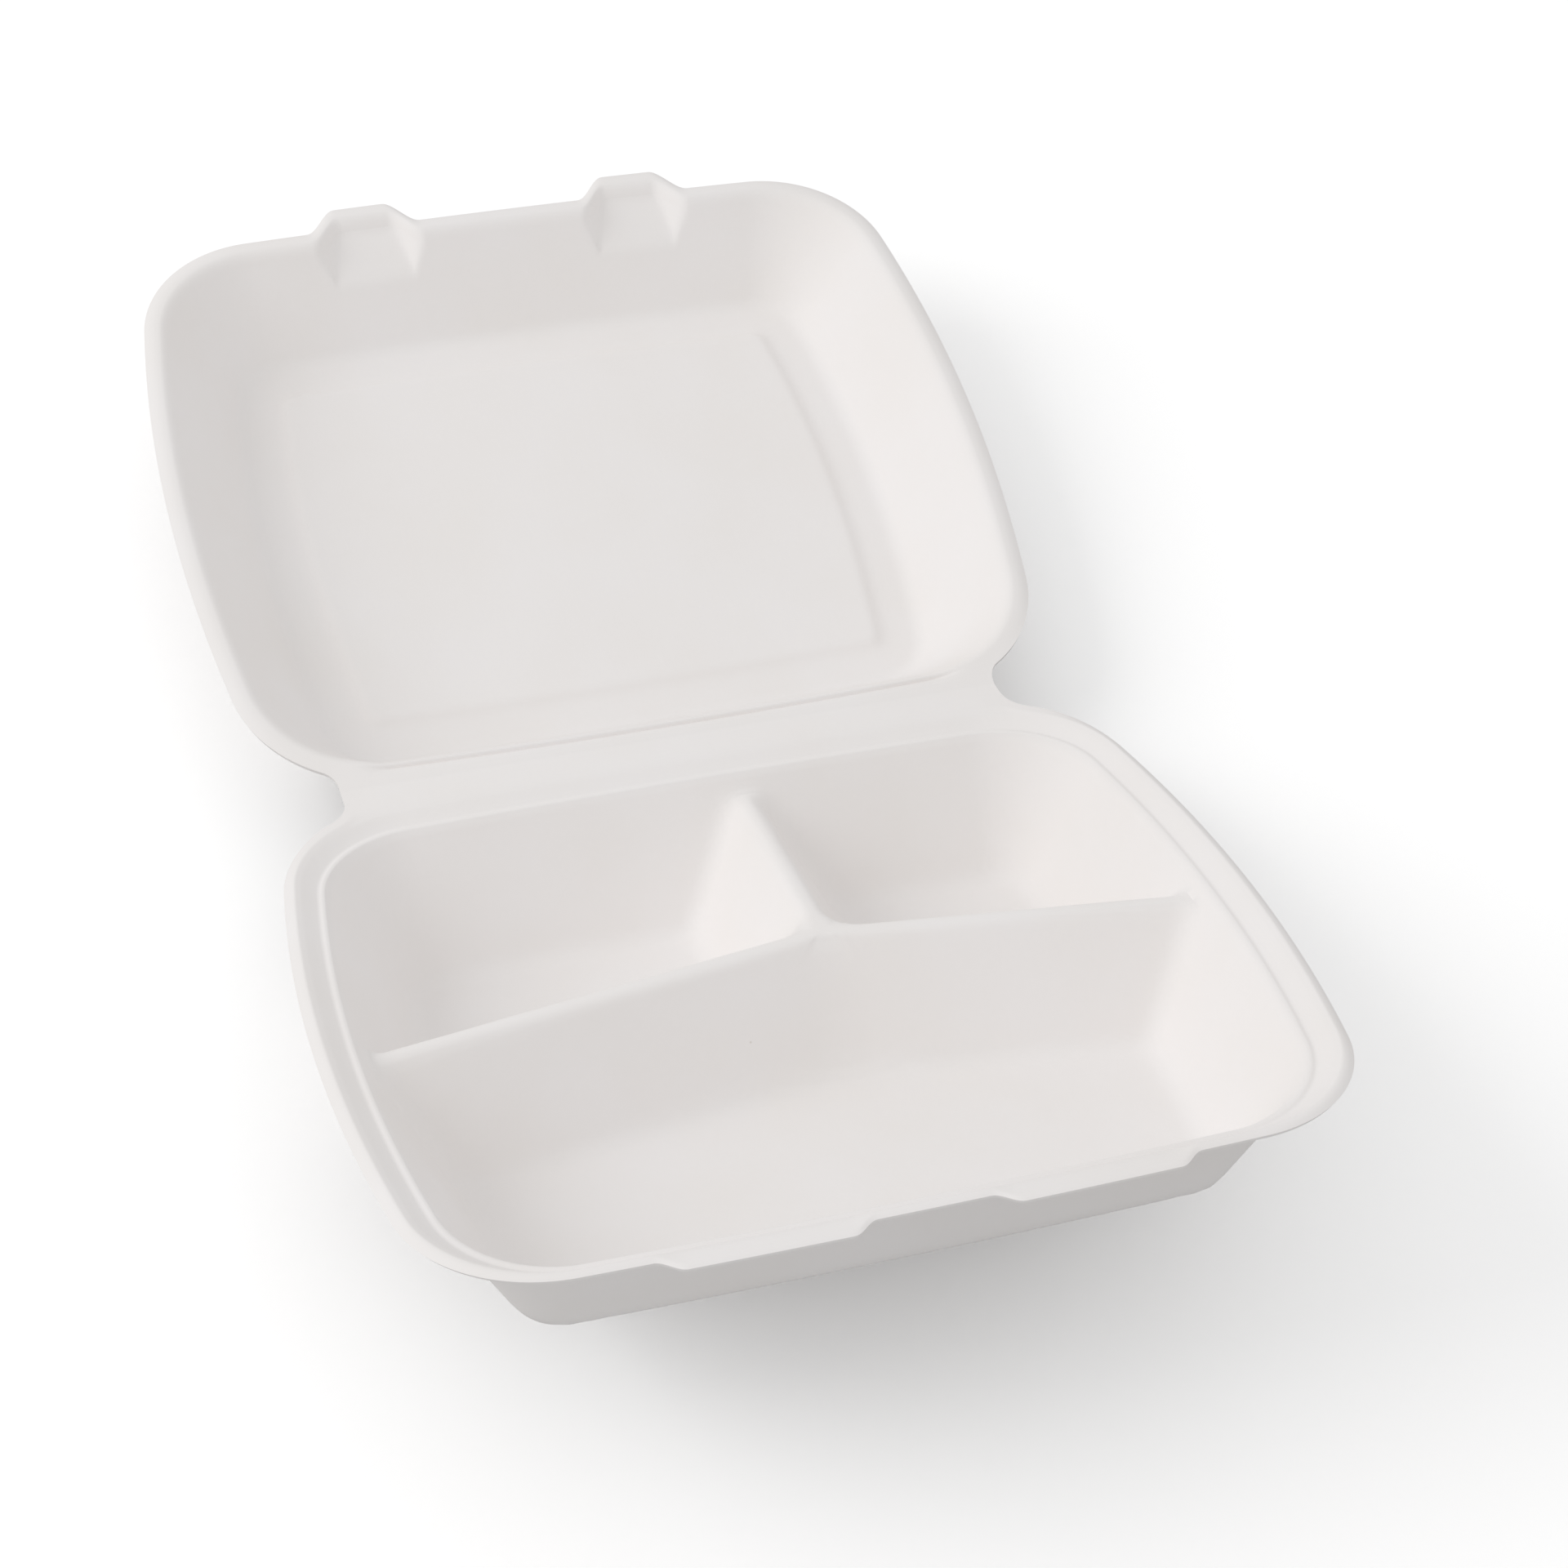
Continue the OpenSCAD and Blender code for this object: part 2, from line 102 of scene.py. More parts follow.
@dataclass(frozen=True)
class RimShape:
    """Bowed rectangle with round corners; all insets are measured inwards from its edge."""

    width: float = 240.0
    depth: float = 205.0
    corner: float = 37.0
    side_bow: float = 11.5
    end_bow: float = 2.5
    corner_keep: float = 0.1
    sharpest: float = 1.0

    @property
    def side_arc(self) -> float:
        """Radius of the bowed left and right sides."""
        half = self.depth / 2
        return (half * half + self.side_bow**2) / (2 * self.side_bow)

    @property
    def end_arc(self) -> float:
        """Radius of the bowed front and back."""
        half = self.width / 2
        return (half * half + self.end_bow**2) / (2 * self.end_bow)

    @property
    def side_centre(self) -> float:
        """Place of the right side's centre along X."""
        return self.width / 2 - self.side_arc

    @property
    def end_centre(self) -> float:
        """Place of the back's centre along Y."""
        return self.depth / 2 - self.end_arc

    def corner_radius(self, inset: np.ndarray) -> np.ndarray:
        """Corner radii of rings, which shrink more slowly than those of parallel curves."""
        return np.maximum(self.sharpest, self.corner - (1 - self.corner_keep) * inset)

    def corner_centre(self, inset: np.ndarray) -> tuple[np.ndarray, np.ndarray]:
        """Centre of the back right corner of the ring at an inset.

        Args:
            inset: Insets from the rim's edge.

        Returns:
            X and Y of the centres.
        """
        radius = self.corner_radius(inset)
        first, second = self.side_arc - inset - radius, self.end_arc - inset - radius
        way_x, way_y = -self.side_centre, self.end_centre
        gap = math.hypot(way_x, way_y)
        along = (first**2 - second**2 + gap * gap) / (2 * gap)
        off = np.sqrt(np.maximum(0.0, first**2 - along**2))
        x = self.side_centre + (along * way_x - off * way_y) / gap
        return x, (along * way_y + off * way_x) / gap

    def corner_angles(self, inset: np.ndarray) -> tuple[np.ndarray, np.ndarray]:
        """Angles, in radians, where the back right corner meets the right side and the back."""
        x, y = self.corner_centre(inset)
        return np.arctan2(y, x - self.side_centre), np.arctan2(y - self.end_centre, x)

    def inset_of(self, x: np.ndarray, y: np.ndarray, deepest: float) -> np.ndarray:
        """Inset of the ring that passes through each point.

        Args:
            x: X of the points.
            y: Y of the points.
            deepest: Largest inset that is told apart; points further in get this value.

        Returns:
            The insets.
        """
        across, along = np.abs(x), np.abs(y)
        low, high = np.zeros_like(across), np.full_like(across, deepest)
        for _ in range(INSET_HALVINGS):
            inset = (low + high) / 2
            centre_x, centre_y = self.corner_centre(inset)
            at_side, at_end = self.corner_angles(inset)
            to_side = self.side_arc - inset - np.hypot(across - self.side_centre, along)
            to_end = self.end_arc - inset - np.hypot(across, along - self.end_centre)
            heading = np.arctan2(along - centre_y, across - centre_x)
            from_centre = np.hypot(across - centre_x, along - centre_y)
            round_gap = self.corner_radius(inset) - from_centre
            in_corner = (heading > at_side) & (heading < at_end)
            inside = np.where(in_corner, round_gap, np.minimum(to_side, to_end)) >= 0
            low, high = np.where(inside, inset, low), np.where(inside, high, inset)
        return (low + high) / 2


@dataclass(frozen=True)
class Bump:
    """A pair of bulges of the front edge, such as the base's tabs or the lid's latches."""

    gap: float
    length: float
    ramp: float
    out: float
    taper: float
    shortest: float = 0.08

    def reach(self, x: np.ndarray, share: float) -> np.ndarray:
        """How far the edge stands out at places along the front.

        Args:
            x: Places along the front.
            share: Share of the bulge that is left at this depth; its ramps grow shorter with it.

        Returns:
            The distances outwards.
        """
        ramp = self.ramp * max(self.shortest, 1 - self.taper * (1 - share))
        beyond = np.abs(np.abs(x) - self.gap / 2) - (self.length + self.ramp - ramp) / 2
        return self.out * share * smooth(np.clip(1 - beyond / ramp, 0, 1))


@dataclass(frozen=True)
class EdgeTurn:
    """Changes round one half: share of the edge's drop in front, and sink of its inner slope."""

    front_drop: float = 1.0
    front_sink: float = 0.0
    side_sink: float = 0.0


@dataclass(frozen=True)
class BackEdge:
    """Back of one half: radius of its notches, reach of its strip, and shift of the edge itself."""

    notch: float
    strip: float
    shift: float

    def drawn(self, points: np.ndarray, half_depth: float) -> np.ndarray:
        """Points of a ring, drawn out in the back half, most of all at the back edge.

        Args:
            points: Points of X and Y.
            half_depth: Distance from the middle to the back of the ring.

        Returns:
            The moved points.
        """
        moved = points.copy()
        moved[:, 1] += self.shift * (np.maximum(0.0, points[:, 1]) / half_depth) ** 3
        return moved


@dataclass(frozen=True)
class Hinge:
    """Strip that joins the two halves, with a round notch at each end."""

    length: float = 185.0
    reach: float = 7.0
    lid_reach: float = 1.5
    notch: float = 11.0
    lid_notch: float = 6.4
    bend: float = 4.0
    lid_bend: float = 1.0
    crease: float = 1.3
    crease_half: float = 83.0
    crease_past: float = 5.0
    crease_fade: float = 12.0
    lift: float = 0.2
    angle: float = 22.5

    def base_back(self) -> BackEdge:
        """Back edge of the base."""
        return BackEdge(self.notch, self.reach - self.bend, 0.0)

    def lid_back(self) -> BackEdge:
        """Back edge of the lid, which is drawn out towards the fold line."""
        return BackEdge(self.lid_notch, self.reach - self.lid_bend, self.reach - self.lid_reach)


@dataclass(frozen=True)
class TraySizes:
    """Profile of the base, from the outer edge of its flange to its floor, and its dividers."""

    height: float = 40.0
    sheet: float = 1.0
    draft: float = 28.0
    foot: float = 7.0
    flange: float = 8.6
    edge_drop: float = 2.0
    groove: float = 3.0
    bead: float = 1.8
    bead_rise: float = 0.3
    divider: float = 32.0
    divider_draft: float = 29.0
    crest: float = 3.2
    crest_flat: float = 0.4
    junction: tuple[float, float] = (13.0, 19.0)
    sweep: float = 9.0
    front_blend: float = 3.0
    pocket: float = 4.5
    web: float = 9.0
    # Turned edge: shares of the flange, of the edge's drop and of the sink
    edge_shares: tuple[tuple[float, float, float], ...] = (
        (0.0, 1.0, 0.0), (0.1, 0.6, 0.0), (0.22, 0.25, 0.05)
    )
    # Inner slope: shares of the flange where it begins and ends, and of the sink at its beginning
    slope_shares: tuple[float, float] = (0.36, 0.95)
    slope_sink_share: float = 0.3
    # Bead: shares of its width and of its rise
    bead_shares: tuple[tuple[float, float], ...] = ((0.1, 0.0), (0.5, 1.0), (1.0, 0.0))
    # How far in the sunk upper end of the walls runs, as a share of its sink
    brow_share: float = 1.2


@dataclass(frozen=True)
class LidSizes:
    """Profile of the lid, from the outer edge of its lip to its panel."""

    height: float = 30.0
    sheet: float = 1.0
    draft: float = 36.1
    foot: float = 6.0
    lip: float = 6.8
    lip_drop: float = 1.2
    lip_run: float = 2.0
    brow: float = 1.8
    hinge_lip: float = 5.4
    hinge_brow: float = 0.3
    border: float = 8.0
    step: float = 3.0
    step_rise: float = 1.8
    latch_depth: float = 9.5
    # Lip: shares of its width, of its drop and of the hinge strip
    lip_shares: tuple[tuple[float, float, float], ...] = (
        (0.0, 1.0, 1.0), (0.2, 0.45, 1.0), (0.4, 0.1, 0.0), (0.6, 0.0, 0.0)
    )
    # Crease beside the hinge: shares of the lip there, of the crease's depth and of the lip's drop
    crease_shares: tuple[tuple[float, float, float], ...] = (
        (0.5, 0.0, 0.0), (0.75, 1.7, 0.0), (0.88, 0.6, 0.1)
    )


class Row(NamedTuple):
    """A point of a half's profile, and what the ring there follows.

    Attributes:
        inset: Inset of the ring.
        height: Height of the ring.
        drop: How far the turned-down edge falls here.
        front: Share of the front bulges that the ring follows.
        back: Share of the hinge strip that the ring follows.
        crease: Depth of the crease beside the hinge strip here.
        sink: Share of the inner slope's extra depth that the ring follows.
    """

    inset: float
    height: float
    drop: float = 0.0
    front: float = 0.0
    back: float = 0.0
    crease: float = 0.0
    sink: float = 0.0


CREASE = Row._fields.index("crease")


def foot_curve(
    corner: tuple[float, float], radius: float, draft: float, steps: int
) -> np.ndarray:
    """Fillet between a sloped wall and a flat floor.

    Args:
        corner: Distance and height where the wall and the floor would meet.
        radius: Radius of the fillet.
        draft: Slope of the wall from upright, in degrees.
        steps: Number of steps along the fillet.

    Returns:
        Points of distance and height, from the wall to the floor.
    """
    sweep = math.radians(90 - draft)
    middle = np.array(corner) + radius * np.array([math.tan(sweep / 2), 1.0])
    angles = np.linspace(sweep, 0.0, steps + 1)
    return middle - radius * np.stack([np.sin(angles), np.cos(angles)], axis=1)


def eased(points: Sequence[Sequence[float]], rows: int, softness: int) -> np.ndarray:
    """Even samples along a broken line with its corners rounded.

    Args:
        points: Corner points of the profile, whose first two numbers are distance and height.
        rows: Number of samples.
        softness: Rounds of corner cutting.

    Returns:
        One row of numbers for each sample.
    """
    line = np.array(points, float)
    for _ in range(softness):
        ahead = 0.75 * line[:-1] + 0.25 * line[1:]
        behind = 0.25 * line[:-1] + 0.75 * line[1:]
        inner = np.empty((2 * len(ahead), line.shape[1]))
        inner[0::2], inner[1::2] = ahead, behind
        line = np.vstack([line[:1], inner[1:-1], line[-1:]])
    length = np.concatenate([[0.0], np.cumsum(np.hypot(*np.diff(line[:, :2], axis=0).T))])
    at = np.linspace(0.0, length[-1], rows)
    return np.stack([np.interp(at, length, line[:, k]) for k in range(line.shape[1])], axis=1)


def round_min(a: np.ndarray, b: np.ndarray, radius: float) -> np.ndarray:
    """Smaller of two distances, with the corner between them rounded.

    Args:
        a: First distances.
        b: Second distances.
        radius: Radius of the rounding.

    Returns:
        The combined distances.
    """
    near = (a < radius) & (b < radius)
    return np.where(near, radius - np.hypot(radius - a, radius - b), np.minimum(a, b))


# Stations round the rim, and the place of each half in the row frame


@dataclass(frozen=True)
class StationCounts:
    """How many stations each stretch of half a rim gets."""

    front: int = 100
    corner: int = 34
    side: int = 80
    fillet: int = 16
    notch_side: int = 2
    strip_end: int = 6
    back: int = 30


class Stations:
    """Stations round a rim; the same shares of each stretch serve every ring, so rows match up."""

    def __init__(
        self, rim: RimShape, hinge: Hinge, back: BackEdge, bump: Bump, turn: EdgeTurn
    ) -> None:
        """Works out the stations and how far each moves for the hinge strip behind.

        Args:
            rim: Shape of the rim.
            hinge: Hinge strip.
            back: Back edge of this half.
            bump: Bulges of the front edge.
            turn: Changes of the rim round this half.
        """
        counts = StationCounts()
        self.rim, self.back, self.bump, self.counts = rim, back, bump, counts
        half_strip, strip_y = hinge.length / 2, rim.depth / 2 + back.strip
        zero = np.zeros(1)
        centre = np.array([float(v[0]) for v in rim.corner_centre(zero)])
        at_side, at_end = (float(v[0]) for v in rim.corner_angles(zero))
        notch_x, far = half_strip + back.notch, rim.corner + back.notch
        notch_y = centre[1] + math.sqrt(far * far - (notch_x - centre[0]) ** 2)
        notch = np.array([notch_x, notch_y])
        span = at_end - at_side
        touch = (math.atan2(*(notch - centre)[::-1]) - at_side) / span
        strip = (math.acos((half_strip - centre[0]) / rim.corner) - at_side) / span
        turn_from = math.atan2(*(centre - notch)[::-1]) % (2 * math.pi)

        plain = np.linspace(0, touch, counts.corner, endpoint=False)
        fillet = np.linspace(touch, strip, counts.fillet + 1)
        rest = np.linspace(strip, 1.0, counts.notch_side + counts.strip_end + 1)[1:]
        self.front_shares = middles(counts.front)
        self.side_shares = np.linspace(-1, 1, counts.side + 1)[1:-1]
        self.corner_shares = np.concatenate([plain, fillet, rest])
        self.back_shares = middles(counts.back)[::-1]

        sweep = np.linspace(turn_from, math.pi, counts.fillet + 1)
        fillet_to = notch + back.notch * np.stack([np.cos(sweep), np.sin(sweep)], axis=1)
        fillet_to = back.drawn(fillet_to, rim.depth / 2)
        edge_y = np.linspace(fillet_to[-1, 1], strip_y, counts.notch_side + 1)[1:]
        edge_to = np.stack([np.full(counts.notch_side, half_strip), edge_y], axis=1)
        reach_x = rim.end_arc * math.cos(at_end)
        end_x = np.linspace(half_strip, reach_x, counts.strip_end + 1)[1:]
        end_to = np.stack([end_x, np.full(counts.strip_end, strip_y)], axis=1)

        edge, on = self.half_ring(0.0), self._stretches()
        moved, behind = np.flatnonzero(on[Segment.BACK_CORNER])[len(plain):], on[Segment.BACK]
        self.edge_x, self.in_front = edge[:, 0], on[Segment.FRONT]
        self.back_move = np.zeros_like(edge)
        self.back_move[moved] = np.concatenate([fillet_to, edge_to, end_to]) - edge[moved]
        self.back_move[behind, 1] = strip_y - edge[behind, 1]
        before_end = hinge.crease_half + hinge.crease_past - edge[:, 0]
        near = np.clip(before_end / hinge.crease_fade, 0, 1)
        self.crease = np.where(edge[:, 1] > 0, smooth(near), 0.0)
        self._set_falls(turn, on, touch)

    def _set_falls(self, turn: EdgeTurn, on: dict[Segment, np.ndarray], touch: float) -> None:
        """Works out how far the edge's drop and the inner slope's sink reach at each station.

        Args:
            turn: Changes of the rim round this half.
            on: Mask of the stations of each stretch.
            touch: Share of the back corner where the notch begins.
        """
        corner_count = self.counts.corner + 1
        fade = np.clip(1 - self.corner_shares / touch, 0, 1)
        self.drop = np.ones(len(self.edge_x))
        self.drop[on[Segment.FRONT]] = turn.front_drop
        self.drop[on[Segment.FRONT_CORNER]] = np.linspace(turn.front_drop, 1, corner_count)
        self.drop[on[Segment.BACK_CORNER]] = smooth(fade)
        self.drop[on[Segment.BACK]] = 0.0
        to_side = np.linspace(turn.front_sink, turn.side_sink, corner_count)
        self.sink = np.zeros(len(self.edge_x))
        self.sink[on[Segment.FRONT]] = turn.front_sink
        self.sink[on[Segment.FRONT_CORNER]] = to_side
        self.sink[on[Segment.SIDE]] = turn.side_sink * np.clip(1 - self.side_shares, 0, 1)

    def _stretches(self) -> dict[Segment, np.ndarray]:
        """Which stations of half a rim lie on each stretch.

        Returns:
            A mask of the stations for each stretch.
        """
        lengths = {
            Segment.FRONT: len(self.front_shares),
            Segment.FRONT_CORNER: self.counts.corner + 1,
            Segment.SIDE: len(self.side_shares),
            Segment.BACK_CORNER: len(self.corner_shares),
            Segment.BACK: len(self.back_shares),
        }
        kinds = np.concatenate([np.full(n, s.value) for s, n in lengths.items()])
        return {s: kinds == s.value for s in Segment}

    def half_ring(self, inset: float) -> np.ndarray:
        """Right half of a ring, without bulges or strip.

        Args:
            inset: Inset of the ring.

        Returns:
            Points of X and Y.
        """
        rim, one = self.rim, np.array([inset])
        radius = float(rim.corner_radius(one)[0])
        cx, cy = (float(v[0]) for v in rim.corner_centre(one))
        at_side, at_end = (float(v[0]) for v in rim.corner_angles(one))
        end_arc, side_arc = rim.end_arc - inset, rim.side_arc - inset

        def end(shares: np.ndarray) -> np.ndarray:
            """Points on the back, at shares of half its length."""
            x = shares * end_arc * math.cos(at_end)
            return np.stack([x, rim.end_centre + np.sqrt(end_arc**2 - x**2)], axis=1)

        def corner(shares: np.ndarray) -> np.ndarray:
            """Points on the back right corner, at shares from the side to the back."""
            a = at_side + shares * (at_end - at_side)
            return np.stack([cx + radius * np.cos(a), cy + radius * np.sin(a)], axis=1)

        a = self.side_shares * at_side
        flip = np.array([1.0, -1.0])
        plain = np.concatenate([
            end(self.front_shares) * flip,
            corner(np.linspace(1, 0, self.counts.corner + 1)) * flip,
            np.stack([rim.side_centre + side_arc * np.cos(a), side_arc * np.sin(a)], axis=1),
            corner(self.corner_shares),
            end(self.back_shares),
        ])
        return self.back.drawn(plain, rim.depth / 2 - inset)

    def ring(self, row: Row) -> np.ndarray:
        """A whole ring in space.

        Args:
            row: Point of the profile that the ring passes through.

        Returns:
            Points of X, Y and Z, counter-clockwise from the middle of the front.
        """
        flat = self.half_ring(row.inset) + row.back * self.back_move
        flat[self.in_front, 1] -= self.bump.reach(self.edge_x[self.in_front], row.front)
        fall = row.drop * self.drop + row.crease * self.crease + row.sink * self.sink
        half = np.column_stack([flat, row.height - fall])
        return np.concatenate([half, half[::-1] * np.array([-1.0, 1.0, 1.0])])


class Placement:
    """Turns the base's and the lid's own frames into the row frame, as the record places them."""

    def __init__(self, record: dict, rim: RimShape, hinge: Hinge, tray: TraySizes) -> None:
        """Reads the hinge's place and the base's tip from the record.

        Args:
            record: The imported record.
            rim: Shape of the rim.
            hinge: Hinge strip.
            tray: Sizes of the base.
        """
        joint = record["behaviour"]["joints"][0]
        down = record["mounts"][0]["axis"]
        self.axis_point = np.array(joint["pos_m"]) / MM
        self.tip = math.atan2(-down[1], -down[2])
        self.fold = np.array([0.0, rim.depth / 2 + hinge.reach, tray.height + hinge.lift])
        self.hinge = hinge

    @staticmethod
    def _turn(angle: float) -> np.ndarray:
        """Rotation about X by an angle in radians, as a three by three matrix."""
        c, s = math.cos(angle), math.sin(angle)
        return np.array([[1, 0, 0], [0, c, -s], [0, s, c]])

    def turned(self, vectors: np.ndarray) -> np.ndarray:
        """Directions of the base's frame, one a row, in the row frame."""
        return np.asarray(vectors, float) @ self._turn(-self.tip).T

    def up(self, tilt: float = 0.0) -> np.ndarray:
        """Upward direction, in the row frame, of a half that is tilted by an angle in radians."""
        return self.turned(np.array([[0.0, -math.sin(tilt), math.cos(tilt)]]))[0]

    def base(self, points: np.ndarray) -> np.ndarray:
        """Points of the base's frame in the row frame, in metres."""
        return (self.turned(np.asarray(points, float) - self.fold) + self.axis_point) * MM

    def lid_in_base(self, points: np.ndarray) -> np.ndarray:
        """Points of the lid's frame, open side up and fold side at +Y, in the base's frame.

        Args:
            points: Points in millimetres.

        Returns:
            Points in millimetres.
        """
        p = np.asarray(points, float)
        flat = np.stack([-p[:, 0], self.fold[1] - p[:, 1], p[:, 2] - self.hinge.lift], axis=1)
        return flat @ self._turn(math.radians(self.hinge.angle)).T + self.fold

    def lid(self, points: np.ndarray) -> np.ndarray:
        """Points of the lid's frame in the row frame, in metres."""
        return self.base(self.lid_in_base(points))


# Modelling


def coords_of(mesh: bpy.types.Mesh) -> np.ndarray:
    """Places of a mesh's vertices.

    Args:
        mesh: The mesh.

    Returns:
        Points of X, Y and Z.
    """
    at = np.empty(len(mesh.vertices) * 3)
    mesh.vertices.foreach_get("co", at)
    return at.reshape(-1, 3)


def move_all(mesh: bpy.types.Mesh, points: np.ndarray) -> None:
    """Moves a mesh's vertices to new places."""
    mesh.vertices.foreach_set("co", points.astype(np.float32).ravel())
    mesh.update()


def rows_of(name: str, count: int, rows: int) -> bpy.types.Object:
    """A tube of rows: a circle extruded step by step, with one more row merged into a point.

    Args:
        name: Name of the object.
        count: Stations in a row.
        rows: Number of rows before the point.

    Returns:
        The object, with row k at height k and its stations by angle.
    """
    bpy.ops.object.select_all(action="DESELECT")
    bpy.ops.mesh.primitive_circle_add(vertices=count, radius=1.0, fill_type="NOTHING")
    obj = bpy.context.object
    obj.name = obj.data.name = name
    bpy.ops.object.mode_set(mode="EDIT")
    bpy.ops.mesh.select_mode(type="EDGE")
    bpy.ops.mesh.select_all(action="SELECT")
    for _ in range(rows):
        bpy.ops.mesh.extrude_edges_move(TRANSFORM_OT_translate={"value": (0.0, 0.0, 1.0)})
    bpy.ops.mesh.merge(type="CENTER")
    bpy.ops.object.mode_set(mode="OBJECT")
    return obj


def lay(obj: bpy.types.Object, rows: np.ndarray, middle: np.ndarray) -> None:
    """Lays a tube of rows on a moulded surface.

    Args:
        obj: The tube.
        rows: Places of the stations, by row and station, in metres.
        middle: Place of the merged middle point, in metres.
    """
    at, count = coords_of(obj.data), rows.shape[1]
    row = np.rint(at[:, 2]).astype(int)
    angle = np.arctan2(at[:, 1], at[:, 0])
    first = angle[np.flatnonzero(row == 0)[0]]
    station = np.rint((angle - first) / (2 * math.pi) * count).astype(int) % count
    place = rows[np.minimum(row, len(rows) - 1), station]
    place[row >= len(rows)] = middle
    move_all(obj.data, place)


def thicken(obj: bpy.types.Object, up: np.ndarray, thickness: float) -> None:
    """Gives a sheet its thickness below its upper face, and shades it smooth.

    Args:
        obj: The sheet.
        up: Direction that the upper face should look to.
        thickness: Thickness in metres.
    """
    bpy.ops.object.select_all(action="DESELECT")
    obj.select_set(True)
    bpy.context.view_layer.objects.active = obj
    normals = np.empty(len(obj.data.polygons) * 3)
    obj.data.polygons.foreach_get("normal", normals)
    if (normals.reshape(-1, 3) @ up).mean() < 0:
        bpy.ops.object.mode_set(mode="EDIT")
        bpy.ops.mesh.select_all(action="SELECT")
        bpy.ops.mesh.flip_normals()
        bpy.ops.object.mode_set(mode="OBJECT")
    solidify = obj.modifiers.new("sheet", "SOLIDIFY")
    solidify.thickness = thickness
    solidify.offset = -1.0
    bpy.ops.object.modifier_apply(modifier=solidify.name)
    bpy.ops.object.shade_smooth_by_angle(angle=SMOOTH_ANGLE)


def moulded(
    name: str,
    rings: Sequence[np.ndarray],
    middle: np.ndarray,
    to_row: Callable[[np.ndarray], np.ndarray],
) -> bpy.types.Object:
    """Models the upper face of a half as rings that close in a middle point.

    Args:
        name: Name of the piece.
        rings: Rings from the rim inwards, in millimetres.
        middle: The middle point, in millimetres.
        to_row: Turns points of the half's frame into the row frame.

    Returns:
        The sheet, still without thickness.
    """
    rows = np.array(rings)
    obj = rows_of(name, rows.shape[1], len(rows))
    lay(obj, to_row(rows.reshape(-1, 3)).reshape(rows.shape), to_row(middle[None])[0])
    return obj


def coat(obj: bpy.types.Object, material: bpy.types.Material) -> None:
    """Gives a piece its finish."""
    obj.data.materials.append(material)


